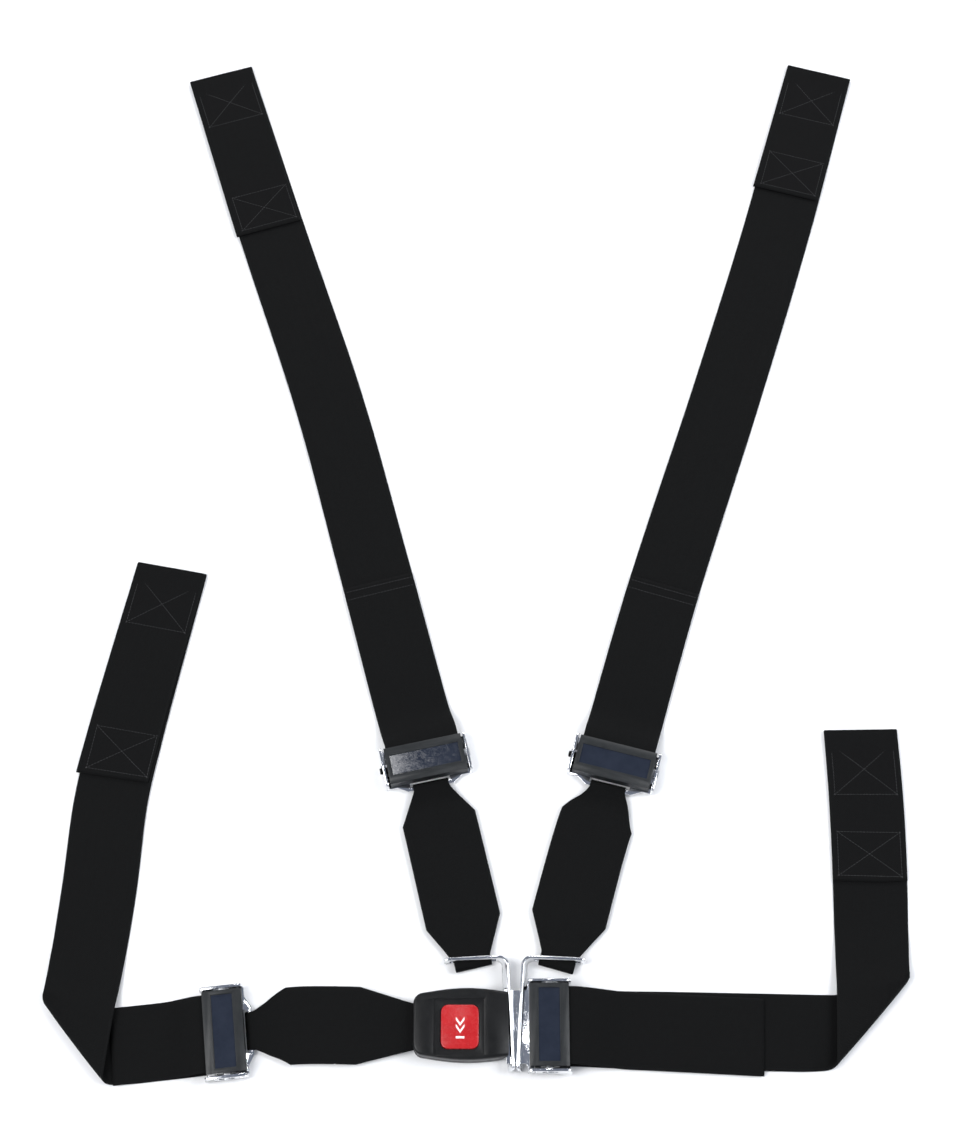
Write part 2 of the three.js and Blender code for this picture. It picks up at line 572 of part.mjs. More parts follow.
function ejector() {
  const back = EJECTOR.front - EJECTOR.length;
  const slider = block([back, EJECTOR.front], [-EJECTOR.half, EJECTOR.half], [EJECTOR.low, EJECTOR.high]);
  const middle = (EJECTOR.low + EJECTOR.high) / 2;
  const stub = new THREE.CylinderGeometry(1.2, 1.2, 5, 12).rotateZ(Math.PI / 2)
    .translate(back - 2, 0, middle);
  add("ejector", join(slider, stub), "innerPlastic");
  const [from, to, turns, radius] = [-28.6, back - GAP - 0.5, 7, 2.6];
  class Coil extends THREE.Curve {
    getPoint(t, target = new THREE.Vector3()) {
      const angle = 2 * Math.PI * turns * t;
      return target.set(THREE.MathUtils.lerp(from, to, t), radius * Math.cos(angle),
        middle + radius * Math.sin(angle));
    }
  }
  const wire = outlineOf(arc(0, 0, 0.4, 0, 300, 5));
  add("ejector_spring", new THREE.ExtrudeGeometry(wire,
    { steps: turns * 12, bevelEnabled: false, extrudePath: new Coil() }), "steel");
}

function pushButton() {
  const outline = (grow) => roundedRectangle(BUTTON.x, BUTTON.y, BUTTON.length + 2 * grow,
    BUTTON.width + 2 * grow, BUTTON.corner + grow);
  const cap = new THREE.ExtrudeGeometry(outlineOf(outline(-1)), {
    depth: BUTTON.top - BUTTON.skirt - 2, bevelEnabled: true, bevelThickness: 1, bevelSize: 1,
    bevelSegments: 3,
  }).translate(0, 0, BUTTON.skirt + 1);
  const flange = slab(roundedRectangle(BUTTON.x, BUTTON.y, BUTTON.length + 2.6, BUTTON.width,
    BUTTON.corner), [BUTTON.skirt, BUTTON.skirt + 1.6]);
  const hollow = slab(outline(-2), [BUTTON.skirt - 1, BUTTON.top - 2.2]);
  const foot = (y) => block([5.6, 9.6], y, [WING.z[1] + GAP, BUTTON.top - 1.5]);
  const springNotch = block([-30, -10], [-4, 4], [BUTTON.skirt - 1, BUTTON.skirt + 3]);
  const inner = BLADE.half + 2 * GAP;
  const sides = [BUTTON.y - BUTTON.width / 2, BUTTON.y + BUTTON.width / 2];
  const body = cut(join(cap, flange), hollow, springNotch);
  add("push_button", join(body, foot([sides[0], -inner]), foot([inner, sides[1]])), "buttonPlastic");
}

// ---------------------------------------------------------------- shoulder brackets
// In a bracket's own axes its leg runs along y with the tongue's middle at the origin, and the
// bar that holds the link runs towards -x. The leg is twisted to lean; the bar stands upright.
function bracket(lean) {
  const half = BRACKET.height / 2;
  const corner = BRACKET.cornerRadius;
  const route = [];
  const straight = (from, to, steps, place) => {
    for (let i = 0; i < steps; i++) route.push(place(from + ((to - from) * i) / steps));
  };
  const ends = [0, 0.5, 1.2, 2.2, 4];
  ends.forEach((d) => route.push({ x: 0, y: BRACKET.legEnd + d, turn: 0, trim: d }));
  straight(BRACKET.legEnd + 10, BRACKET.barY - corner, 6, (y) => ({ x: 0, y, turn: 0 }));
  for (let i = 0; i <= 8; i++) {
    const turn = (Math.PI / 2) * (i / 8);
    route.push({
      x: -corner + corner * Math.cos(turn), y: BRACKET.barY - corner + corner * Math.sin(turn), turn,
    });
  }
  straight(-corner - 8, -BRACKET.barLength + 8, 4, (x) => ({ x, y: BRACKET.barY, turn: Math.PI / 2 }));
  [...ends].reverse().forEach((d) => route.push({
    x: -BRACKET.barLength + d, y: BRACKET.barY, turn: Math.PI / 2, trim: d,
  }));
  const stations = route.map(({ x, y, turn, trim }) => {
    const outward = new THREE.Vector3(Math.cos(turn), Math.sin(turn), 0);
    const angle = lean * (1 - turn / (Math.PI / 2));
    const across = UP.clone().multiplyScalar(Math.cos(angle)).addScaledVector(outward, Math.sin(angle));
    const n = outward.clone().multiplyScalar(Math.cos(angle)).addScaledVector(UP, -Math.sin(angle));
    const short = BRACKET.endRadius - Math.min(trim ?? BRACKET.endRadius, BRACKET.endRadius);
    const reach = half - BRACKET.endRadius + Math.sqrt(BRACKET.endRadius ** 2 - short ** 2);
    const centre = new THREE.Vector3(x, y, 0);
    return {
      a: centre.clone().addScaledVector(across, -reach), b: centre.clone().addScaledVector(across, reach), n,
    };
  });
  const legSlot = block([-12, 12], [-BRACKET.legSlot, BRACKET.legSlot],
    [-BRACKET.railGap / 2, BRACKET.railGap / 2]).rotateY(lean);
  const barSlot = block([-BRACKET.barLength + 5, -corner - 1], [BRACKET.barY - 9, BRACKET.barY + 9],
    [-half + BRACKET.rail, half - BRACKET.rail]);
  return cut(ribbon(stations, BRACKET.thickness), legSlot, barSlot);
}

const LEFT_BRACKET = { x: 46.6, lean: 17, yaw: 3 };
const RIGHT_BRACKET = { x: 58.9, lean: 13, yaw: -3 };

function placeBracket(name, { x, lean, yaw }, mirrored) {
  const shape = bracket(THREE.MathUtils.degToRad(lean));
  const upright = mirrored ? mirrorX(shape) : shape;
  const mesh = add(name, upright, "chrome");
  mesh.position.set(x, 0, TONGUE_HEIGHT);
  mesh.rotation.z = THREE.MathUtils.degToRad(yaw);
}

function mirrorX(geometry) {
  return toGeometry(toSolid(geometry).mirror([1, 0, 0]));
}

// middle of the bracket's lower rail, which a shoulder link goes round
function lowerRail({ x, yaw }, along) {
  const angle = THREE.MathUtils.degToRad(yaw);
  return [
    x + along * Math.cos(angle) - BRACKET.barY * Math.sin(angle),
    BRACKET.barY * Math.cos(angle) + along * Math.sin(angle),
    TONGUE_HEIGHT - BRACKET.height / 2 + BRACKET.rail / 2,
  ];
}

// ---------------------------------------------------------------- the harness
buckleShells();
caseScrews();
buckleFrame();
latchLeaf();
ejector();
pushButton();

// the tongue is one plate with the right lap adjuster's frame
const bladeEnd = BLADE.tip - RIGHT_LAP.x;
const neckEnd = NECK.left - RIGHT_LAP.x;
const tongueOutline = [
  [-17, -40], [-17, 40], [ADJUSTER.inner + 0.4, 40], [ADJUSTER.inner - 1.6, NECK.half], [neckEnd, NECK.half],
  [neckEnd, BLADE.half], [bladeEnd + 5, BLADE.half], [bladeEnd, BLADE.half - 5],
  [bladeEnd, -BLADE.half + 5], [bladeEnd + 5, -BLADE.half], [neckEnd, -BLADE.half],
  [neckEnd, -NECK.half], [ADJUSTER.inner - 1.6, -NECK.half], [ADJUSTER.inner + 0.4, -40],
];
adjuster("right_lap", RIGHT_LAP, "tongue_frame", tongueOutline);
adjuster("left_lap", LEFT_LAP, "left_lap_adjuster_frame");
adjuster("left_shoulder", LEFT_SHOULDER, "left_shoulder_adjuster_frame");
adjuster("right_shoulder", RIGHT_SHOULDER, "right_shoulder_adjuster_frame");

placeBracket("left_shoulder_bracket", LEFT_BRACKET, false);
placeBracket("right_shoulder_bracket", RIGHT_BRACKET, true);

link("left_shoulder_link", lowerRail(LEFT_BRACKET, -32.5), LEFT_SHOULDER,
  { width: 37, flare: [3, 38], loop: 3.4, sway: -1 });
link("right_shoulder_link", lowerRail(RIGHT_BRACKET, 33), RIGHT_SHOULDER,
  { width: 36, flare: [6, 38], loop: 4.5, sway: 4.5 });
link("left_lap_link", [WEBBING_PIN.x, 0, WEBBING_PIN.z], LEFT_LAP, { width: 44.4, flare: [8, 56] });

shoulderStrap("left", LEFT_SHOULDER, LEFT_SHOULDER_ROUTE, LEFT_SHOULDER_FOLD);
shoulderStrap("right", RIGHT_SHOULDER, RIGHT_SHOULDER_ROUTE, RIGHT_SHOULDER_FOLD);
lapStrap("left", LEFT_LAP, LEFT_LAP_CORNER, LEFT_LAP_ROUTE, LEFT_LAP_TAIL, LEFT_LAP_FOLD);
lapStrap("right", RIGHT_LAP, RIGHT_LAP_CORNER, RIGHT_LAP_ROUTE, RIGHT_LAP_TAIL, RIGHT_LAP_FOLD,
  RIGHT_LAP_TAIL_SWING);

harness.updateMatrixWorld(true);
const size = new THREE.Box3().setFromObject(harness, true);
const middle = size.getCenter(new THREE.Vector3());
harness.position.set(-middle.x, -middle.y, -size.min.z);

export default harness;
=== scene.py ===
"""Looks for the laid-out racing harness: woven webbing, plated steel, moulded plastic, stitching."""
import json
import math

import bmesh
import bpy
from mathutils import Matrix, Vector, noise


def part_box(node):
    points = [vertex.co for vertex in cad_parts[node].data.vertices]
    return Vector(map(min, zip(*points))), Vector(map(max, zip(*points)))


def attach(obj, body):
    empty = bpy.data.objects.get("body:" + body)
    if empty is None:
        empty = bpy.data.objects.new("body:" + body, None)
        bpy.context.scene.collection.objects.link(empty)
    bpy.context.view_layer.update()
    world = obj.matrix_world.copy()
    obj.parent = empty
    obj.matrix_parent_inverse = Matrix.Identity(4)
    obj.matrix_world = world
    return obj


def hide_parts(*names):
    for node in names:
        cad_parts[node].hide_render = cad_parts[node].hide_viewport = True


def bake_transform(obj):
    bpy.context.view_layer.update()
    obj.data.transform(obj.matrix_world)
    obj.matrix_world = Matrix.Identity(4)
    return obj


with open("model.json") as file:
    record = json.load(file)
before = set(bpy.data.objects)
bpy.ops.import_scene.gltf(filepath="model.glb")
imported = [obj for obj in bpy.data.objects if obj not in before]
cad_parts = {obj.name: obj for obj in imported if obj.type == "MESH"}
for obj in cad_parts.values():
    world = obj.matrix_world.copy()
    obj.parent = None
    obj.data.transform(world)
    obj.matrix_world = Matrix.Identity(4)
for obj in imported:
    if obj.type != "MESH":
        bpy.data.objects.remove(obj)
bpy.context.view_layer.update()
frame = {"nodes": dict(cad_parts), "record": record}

# The layout is written in millimetres from the middle of the buckle, where the webbing pin is
# at x = -38 and y = 0.
WEBBING_PIN = Vector((-38, 0, 9.5))
PIN_LOW, PIN_HIGH = (Vector(corner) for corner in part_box("webbing_pin"))
OFFSET = (PIN_LOW + PIN_HIGH) * 500 - WEBBING_PIN
OFFSET.z = 0


def metres(p):
    return (Vector(p) + OFFSET) / 1000


# ------------------------------------------------------------------ camera and light
CAMERA_TILT = math.radians(23.5)  # away from straight down

camera = bpy.data.objects.new("camera", bpy.data.cameras.new("camera"))
bpy.context.collection.objects.link(camera)
camera.data.lens = 69.3
camera.data.clip_end = 20
camera.location = OFFSET / 1000 + Vector((0.026, -0.4298, 2.143))
camera.rotation_euler = (CAMERA_TILT, 0, 0)
bpy.context.scene.camera = camera


def area_light(name, location, size, watts, aim=(0, 0, 0), tint=(1, 1, 1)):
    light = bpy.data.lights.new(name, "AREA")
    light.shape, light.size, light.size_y = "RECTANGLE", size[0], size[1]
    light.energy, light.color = watts, tint
    obj = bpy.data.objects.new(name, light)
    obj.location = location
    obj.rotation_euler = (Vector(aim) - Vector(location)).to_track_quat("-Z", "Y").to_euler()
    bpy.context.collection.objects.link(obj)


area_light("key", (-1.5, -0.9, 2.4), (1.5, 1.5), 60)
area_light("fill", (1.9, -0.3, 2.1), (1.3, 1.3), 44, tint=(0.95, 0.97, 1))
area_light("back", (0.1, 2.6, 1.5), (2.6, 0.7), 42)
area_light("glint", (-0.262, 0.47, 2.3), (0.1, 0.2), 1.5, aim=(-0.08, -0.28, 0))
bpy.context.scene.view_settings.view_transform = "Standard"


def studio_world():
    """Bright round the horizon and dim overhead, so that flat plated faces read as metal."""
    world = bpy.data.worlds.new("studio")
    bpy.context.scene.world = world
    world.use_nodes = True
    nodes, links = world.node_tree.nodes, world.node_tree.links
    height = nodes.new("ShaderNodeSeparateXYZ")
    links.new(nodes.new("ShaderNodeTexCoord").outputs["Generated"], height.inputs[0])
    sky = nodes.new("ShaderNodeValToRGB")
    links.new(height.outputs["Z"], sky.inputs["Fac"])
    low, high = sky.color_ramp.elements
    low.position, low.color = 0.25, (0.82, 0.84, 0.88, 1)
    high.position, high.color = 0.85, (0.17, 0.19, 0.24, 1)
    links.new(sky.outputs["Color"], nodes["Background"].inputs["Color"])
    nodes["Background"].inputs["Strength"].default_value = 1.0


studio_world()


# ------------------------------------------------------------------ materials
WIDTH, THICK = 76.2, 1.5  # 3-inch webbing


class Nodes:
    """A short way to write a node material."""

    def __init__(self, name):
        self.material = bpy.data.materials.new(name)
        self.material.use_nodes = True
        self.tree = self.material.node_tree
        self.shader = self.tree.nodes["Principled BSDF"]

    def make(self, kind, inputs=None, **settings):
        node = self.tree.nodes.new(kind)
        for key, value in settings.items():
            setattr(node, key, value)
        for key, value in (inputs or {}).items():
            self.feed(node.inputs[key], value)
        return node

    def feed(self, socket, value):
        if isinstance(value, bpy.types.NodeSocket):
            self.tree.links.new(value, socket)
        else:
            socket.default_value = value

    def math(self, operation, a, b=0.0):
        return self.make("ShaderNodeMath", {0: a, 1: b}, operation=operation).outputs[0]

    def noise(self, scale, detail=3.0, vector=None, roughness=0.5):
        inputs = {"Scale": scale, "Detail": detail, "Roughness": roughness}
        inputs["Vector"] = vector or self.make("ShaderNodeTexCoord").outputs["Object"]
        return self.make("ShaderNodeTexNoise", inputs).outputs["Fac"]

    def ramp(self, value, *stops):
        node = self.make("ShaderNodeValToRGB", {"Fac": value})
        elements = node.color_ramp.elements
        while len(elements) < len(stops):
            elements.new(0.5)
        for element, (place, colour) in zip(elements, stops):
            element.position = place
            level = (colour,) * 3 if isinstance(colour, float) else colour
            element.color = (*level, 1)
        return node.outputs["Color"]

    def set(self, **sockets):
        for key, value in sockets.items():
            self.feed(self.shader.inputs[key.replace("_", " ")], value)
        return self

    def bump(self, height, strength, distance, normal=None):
        node = self.make("ShaderNodeBump", {"Height": height, "Strength": strength, "Distance": distance})
        if normal:
            self.feed(node.inputs["Normal"], normal)
        return node.outputs["Normal"]


def webbing_material():
    """Herringbone webbing. Its UV map is in millimetres: across the strap, then along it."""
    m = Nodes("webbing")
    uv = m.make("ShaderNodeUVMap", uv_map="weave").outputs["UV"]
    split = m.make("ShaderNodeSeparateXYZ", {0: uv})
    across, along = split.outputs["X"], split.outputs["Y"]
    # eight stripes across the strap, and the twill turns round from one to the next
    stripe = m.math("PINGPONG", across, 4.76)
    twill = m.math("FRACT", m.math("DIVIDE", m.math("ADD", along, stripe), 1.9))
    yarn = m.math("SINE", m.math("MULTIPLY", twill, math.pi))
    cord = m.math("ABSOLUTE", m.math("SINE", m.math("MULTIPLY", across, math.pi / 0.95)))
    weft = m.math("ABSOLUTE", m.math("SINE", m.math("MULTIPLY", along, math.pi / 1.1)))
    weave = m.math("ADD", m.math("MULTIPLY", yarn, 0.6),
                   m.math("ADD", m.math("MULTIPLY", cord, 0.25), m.math("MULTIPLY", weft, 0.15)))
    # the selvedge: two thick cords along each edge
    rim = m.math("GREATER_THAN", m.math("ABSOLUTE", m.math("SUBTRACT", across, WIDTH / 2)), 35.3)
    weave = m.math("ADD", weave, m.math("MULTIPLY", m.math("MULTIPLY", rim, cord), 0.35))
    wear = m.noise(9.0, 6.0, roughness=0.65)
    fuzz = m.noise(900.0, 2.0)
    tone = m.math("ADD", m.math("MULTIPLY", weave, 0.5),
                  m.math("ADD", m.math("MULTIPLY", wear, 0.35), m.math("MULTIPLY", fuzz, 0.15)))
    m.set(Base_Color=m.ramp(tone, (0.2, (0.0006, 0.0006, 0.0007)), (0.8, (0.0068, 0.0071, 0.0072))),
          Roughness=m.ramp(wear, (0.3, 0.68), (0.7, 0.85)), Sheen_Weight=0.012, Sheen_Roughness=0.4,
          Specular_IOR_Level=0.07)
    normal = m.bump(weave, 0.75, 0.0004)
    m.set(Normal=m.bump(fuzz, 0.25, 0.0002, normal))
    return m.material


def thread_material():
    m = Nodes("thread")
    twist = m.make("ShaderNodeTexWave", {"Scale": 1400.0, "Distortion": 1.0},
                   bands_direction="DIAGONAL").outputs["Fac"]
    m.set(Base_Color=m.ramp(twist, (0.2, (0.006, 0.006, 0.007)), (0.8, (0.019, 0.019, 0.021))),
          Roughness=0.55, Normal=m.bump(twist, 0.4, 0.0001))
    return m.material


def plastic(name, colour, roughness, grain, scratch=0.3, shine=0.5):
    """Moulded plastic with a spark-eroded grain, and edges and faces rubbed a little."""
    m = Nodes(name)
    fine = m.noise(2600.0, 2.0)
    cloudy = m.noise(60.0, 5.0, roughness=0.7)
    rubbed = m.noise(210.0, 8.0, roughness=0.75)
    light = tuple(min(1, c * 1.25 + 0.004) for c in colour)
    m.set(Base_Color=m.ramp(cloudy, (0.3, colour), (0.75, light)),
          Roughness=m.ramp(rubbed, (0.35, roughness - 0.08), (0.7, roughness + 0.1 * scratch + 0.04)),
          Specular_IOR_Level=shine)
    normal = m.bump(fine, grain, 0.00012)
    m.set(Normal=m.bump(rubbed, 0.08, 0.0002, normal))
    return m.material


def metal(name, colour, roughness, wear, brushed=False):
    m = Nodes(name)
    place = m.make("ShaderNodeTexCoord").outputs["Object"]
    if brushed:
        place = m.make("ShaderNodeMapping", {"Vector": place, "Scale": (1, 14, 1)}).outputs["Vector"]
    cloudy = m.noise(45.0, 5.0, place, 0.65)
    fine = m.noise(1400.0 if brushed else 520.0, 3.0, place)
    dull = tuple(c * 0.8 for c in colour)
    m.set(Base_Color=m.ramp(cloudy, (0.3, dull), (0.65, colour)), Metallic=1.0,
          Roughness=m.ramp(fine, (0.3, roughness), (0.75, roughness + wear)),
          Normal=m.bump(m.math("ADD", cloudy, m.math("MULTIPLY", fine, 0.25)), 0.12, 0.0004))
    return m.material


MATERIALS = {
    "webbing": webbing_material(),
    "thread": thread_material(),
    "case": plastic("case_plastic", (0.0045, 0.0047, 0.005), 0.38, 0.35, shine=0.22),
    "cover": plastic("cover_plastic", (0.012, 0.0135, 0.0145), 0.42, 0.4, shine=0.3),
    # the window's colour is dark plastic plus a blue-grey tint that is a painted reflection; its low
    # roughness adds real reflections as well
    "window": plastic("window_plastic_painted_reflection", (0.012, 0.016, 0.027), 0.1, 0.03, 0.6),
    "button": plastic("button_plastic", (0.38, 0.008, 0.01), 0.28, 0.08),
    "white": plastic("print_white", (0.75, 0.72, 0.7), 0.5, 0.1),
    "acetal": plastic("inner_plastic", (0.72, 0.7, 0.64), 0.45, 0.1),
    "chrome": metal("chrome", (0.86, 0.87, 0.89), 0.07, 0.16),
    "steel": metal("steel", (0.5, 0.51, 0.53), 0.28, 0.2, True),
}


# ------------------------------------------------------------------ webbing
LOW = THICK / 2  # height of the middle of a layer that lies on the floor
SECOND = LOW + THICK + 0.35  # and of a layer on top of it
PLATE_HALF = 1.5
BAR_Z, BAR_RADIUS = 7.0, 2.5  # the lock bar, above the middle of its adjuster's plate
WRAP = BAR_RADIUS + 0.3 + LOW
FRAME_Z, TONGUE_Z = 4.6, 10.5  # height of the middle of an adjuster's plate

# Each adjuster: x, y, the way its strap leaves it in degrees, and the height of its plate.
LEFT_SHOULDER = (-38.3, 274, 102.4, FRAME_Z)
RIGHT_SHOULDER = (156.6, 271, 75.2, FRAME_Z)
LEFT_LAP = (-232.6, -5.5, 186.5, FRAME_Z)
RIGHT_LAP = (86, 0, 0, TONGUE_Z)
ADJUSTERS = (LEFT_SHOULDER, RIGHT_SHOULDER, LEFT_LAP, RIGHT_LAP)


def spline(points, step):
    """Points every step or so along a centripetal Catmull-Rom curve through the given ones."""
    pts = [Vector(p) for p in points]
    pts = [2 * pts[0] - pts[1], *pts, 2 * pts[-1] - pts[-2]]
    out = []
    for p0, p1, p2, p3 in zip(pts, pts[1:], pts[2:], pts[3:]):
        d0, d1, d2 = (max((b - a).length ** 0.5, 1e-3) for a, b in ((p0, p1), (p1, p2), (p2, p3)))
        t1 = ((p1 - p0) / d0 - (p2 - p0) / (d0 + d1) + (p2 - p1) / d1) * d1
        t2 = ((p2 - p1) / d1 - (p3 - p1) / (d1 + d2) + (p3 - p2) / d2) * d1
        count = max(1, round((p2 - p1).length / step))
        for i in range(count):
            t = i / count
            out.append(p1 + t1 * t + (3 * (p2 - p1) - 2 * t1 - t2) * t * t
                       + (2 * (p1 - p2) + t1 + t2) * t ** 3)
    return [*out, pts[-2]]


class Plan:
    """Where a strap's middle is, and which way it runs, at a distance along it."""

    def __init__(self, points):
        self.line = spline([Vector(p[:2]) for p in points], 2.0)
        self.far = [0.0]
        for a, b in zip(self.line, self.line[1:]):
            self.far.append(self.far[-1] + (b - a).length)
        self.length = self.far[-1]

    def at(self, s):
        inside = min(max(s, 0), self.length)
        i = min(max(sum(f <= inside for f in self.far) - 1, 0), len(self.line) - 2)
        a, b = self.line[i], self.line[i + 1]
        before, after = self.line[max(i - 1, 0)], self.line[min(i + 2, len(self.line) - 1)]
        t = (inside - self.far[i]) / max(self.far[i + 1] - self.far[i], 1e-9)
        way = ((b - before).normalized() * (1 - t) + (after - a).normalized() * t).normalized()
        return a.lerp(b, t) + way * (s - inside), way


def on_axis(place, distance, aside=0.0):
    """A point on an adjuster's middle line, or aside to the left of it."""
    a = math.radians(place[2])
    return (place[0] + distance * math.cos(a) - aside * math.sin(a),
            place[1] + distance * math.sin(a) + aside * math.cos(a))


def arc(cx, cz, radius, start, stop, steps):
    angles = [math.radians(start + (stop - start) * i / steps) for i in range(steps + 1)]
    return [(cx + radius * math.cos(a), cz + radius * math.sin(a)) for a in angles]


def run(start, stop, z, step=40.0):
    count = max(1, math.ceil(abs(stop - start) / step))
    return [(start + (stop - start) * i / count, z) for i in range(count + 1)]


def along(plan, profile, half=lambda s: WIDTH / 2, step=4.0, drift=0.0, fold=0.0):
    """Stations (left edge, right edge, normal) of a strap whose profile is (distance, height).
    A layer folded back at the end drifts sideways by drift over its length."""
    fine = spline(profile, step)
    out = []
    for i, p in enumerate(fine):
        a, b = fine[max(i - 1, 0)], fine[min(i + 1, len(fine) - 1)]
        slope = (b - a).normalized()
        middle, way = plan.at(p.x)
        side = Vector((-way.y, way.x, 0)) * half(p.x)
        centre = Vector((middle.x, middle.y, p.y))
        if fold and slope.x < 0:
            centre += side.normalized() * drift * (plan.length - p.x) / fold
        normal = Vector((-way.x * slope.y, -way.y * slope.y, slope.x))
        out.append((centre + side, centre - side, normal))
    return out


COLUMNS = 14


def strip(name, stations, settle=lambda p: Vector((0, 0, 0)), thickness=THICK):
    """A strap as a closed mesh with rounded edges and a UV map in millimetres. settle says how far
    each point moves from where the stations put it."""
    rim = 0.045
    across = [-1, -1 + rim * 0.35, -1 + rim, *[-1 + rim + (2 - 2 * rim) * i / COLUMNS
              for i in range(1, COLUMNS)], 1 - rim, 1 - rim * 0.35, 1]
    ring = [(u, 1) for u in across] + [(u, -1) for u in reversed(across[1:-1])]

    def fullness(u):
        into = max(0.0, (abs(u) - (1 - rim)) / rim)
        return math.sqrt(max(0.0, 1 - into * into))

    mesh = bmesh.new()
    uv = mesh.loops.layers.uv.new("weave")
    rings, runs = [], []
    travelled, before = 0.0, None
    for a, b, n in stations:
        middle = (a + b) / 2
        travelled += (middle - before).length if before else 0.0
        before = middle
        row = []
        for u, face in ring:
            p = a.lerp(b, (1 - u) / 2)
            p = p + n * (face * fullness(u) * thickness / 2) + settle(p)
            p.z = max(p.z, 0)
            row.append(mesh.verts.new(metres(p)))
        rings.append(row)
        runs.append((travelled, (a - b).length))
    count = len(ring)
    for i in range(len(rings) - 1):
        for k in range(count):
            n = (k + 1) % count
            face = mesh.faces.new((rings[i][k], rings[i][n], rings[i + 1][n], rings[i + 1][k]))
            face.smooth = True
            for loop, (row, column) in zip(face.loops, ((i, k), (i, n), (i + 1, n), (i + 1, k))):
                loop[uv].uv = ((ring[column][0] + 1) * WIDTH / 2, runs[row][0])
    mesh.faces.new(rings[0])
    mesh.faces.new(list(reversed(rings[-1])))
    bmesh.ops.recalc_face_normals(mesh, faces=mesh.faces)
    return finish(name, mesh, "webbing"), runs[-1][0]


def finish(name, mesh, material):
    data = bpy.data.meshes.new(name)
    mesh.to_mesh(data)
    mesh.free()
    obj = bpy.data.objects.new(name, data)
    bpy.context.collection.objects.link(obj)
    data.materials.append(MATERIALS[material])
    return obj


LEVEL_REACH, LEVEL_FADE = 55, 70  # straps lie level this near an adjuster, and then less so


def unevenness(p):
    """How far a loose strap rises at a place, the same for each layer there, so layers stay together."""
    near = min(math.hypot(p.x - a[0], p.y - a[1]) for a in ADJUSTERS)
    fade = min(max((near - LEVEL_REACH) / LEVEL_FADE, 0), 1)
    slow = noise.noise(Vector((p.x / 120, p.y / 120, 3.1)))
    quick = noise.noise(Vector((p.x / 38, p.y / 38, 9.7)))
    return Vector((0, 0, fade * max(0.0, 0.9 + 1.1 * slow + 0.45 * quick)))


def wrap(base):
    """Round the lock bar from its top, down through the window and out under the cross bar."""
    centre = base + BAR_Z
    return [(0.2, centre + WRAP), *arc(-1.5, centre, WRAP, 90, 270, 10), (1.5, centre - WRAP),
            (10.5, base - PLATE_HALF - 1.1), (24, base - PLATE_HALF - 1.1)]


def sewn_end(end, fold):
    bend = (SECOND - LOW) / 2 + 0.25
    return [*arc(end - bend, LOW + bend, bend, -90, 90, 6), *reversed(run(end - fold, end - 30, SECOND))]


def tail_profile(base, length):
    top = base + BAR_Z + WRAP
    landing = 24 + 3 * (top - SECOND)
    return [(0.5, top), (22, top), (30, top - 1.5), (landing - 8, SECOND + 1.2),
            *run(landing, length, SECOND)]


def route_from(place, route):
    return Plan([on_axis(place, d) for d in (0, 12, 30)] + route)


def soft_strap(name, stations, node, settle=unevenness):
    """A strap or tail that stays in its adjuster at one end, built in place of its CAD piece."""
    piece, length = strip(name, stations, settle)
    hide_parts(node)
    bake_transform(piece)


# ------------------------------------------------------------------ stitching
STITCH_SIZE = (2.6, 0.42, 0.2)  # length, width and height of one stitch
STITCH_PITCH = 3.3
STITCH_POINTS = ((-0.5, 0, -0.3), (-0.36, 0.5, 0.35), (-0.36, -0.5, 0.35), (0, 0.6, 0.7),
                 (0, -0.6, 0.7), (0.36, 0.5, 0.35), (0.36, -0.5, 0.35), (0.5, 0, -0.3))
STITCH_FACES = ((0, 2, 1), (1, 2, 4, 3), (3, 4, 6, 5), (5, 6, 7))


def stitches(name, rows):
    """Rows of thread. Each row is a list of (point, normal) on the webbing's surface."""
    mesh = bmesh.new()
    for row in rows:
        length, marks = 0.0, []
        for (p, n), (q, m) in zip(row, row[1:]):
            gap = (q - p).length
            while length <= gap:
                t = length / max(gap, 1e-6)
                marks.append((p.lerp(q, t), (q - p).normalized(), n.lerp(m, t).normalized()))
                length += STITCH_PITCH
            length -= gap
        for point, way, normal in marks:
            side = normal.cross(way)
            corners = []
            for forth, aside, rise in STITCH_POINTS:
                p = (point + way * forth * STITCH_SIZE[0] + side * aside * STITCH_SIZE[1]
                     + normal * (rise * STITCH_SIZE[2]))
                corners.append(mesh.verts.new(metres(p)))
            for f in STITCH_FACES:
                mesh.faces.new([corners[k] for k in f]).smooth = True
    return finish(name, mesh, "thread")


def stitch_row(plan, a, b, steps=8):
    """A row on a doubled strap, between two places given as (distance along it, how far aside)."""
    row = []
    for i in range(steps + 1):
        s, t = a[0] + (b[0] - a[0]) * i / steps, a[1] + (b[1] - a[1]) * i / steps
        middle, way = plan.at(s)
        p = Vector((middle.x - way.y * t, middle.y + way.x * t, SECOND + THICK / 2))
        row.append((p + unevenness(p), Vector((0, 0, 1))))
    return row


def box_stitch(plan, start, stop, half=32.0):
    """A sewn box with a cross in it."""
    a, b, c, d = (start, -half), (stop, -half), (stop, half), (start, half)
    return [stitch_row(plan, *ends) for ends in ((a, b), (b, c), (c, d), (d, a), (a, c), (d, b))]


def sew_end(body, plan, fold):
    """Two boxes hold the folded end: one where the fold stops, one near the strap's very end."""
    end = plan.length
    rows = box_stitch(plan, end - fold + 6, end - fold + 52) + box_stitch(plan, end - 70, end - 16)
    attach(stitches(f"{body}_end_stitching", rows), f"{body}_strap")


def sew_hem(body, plan, length, half=35):
    """Two rows across the free end of a tail."""
    outer, inner = length - 5, length - 14
    rows = [stitch_row(plan, (inner, half), (inner, -half)),
            stitch_row(plan, (outer, -half), (outer, half))]
    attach(stitches(f"{body}_tail_stitching", rows), f"{body}_tail")


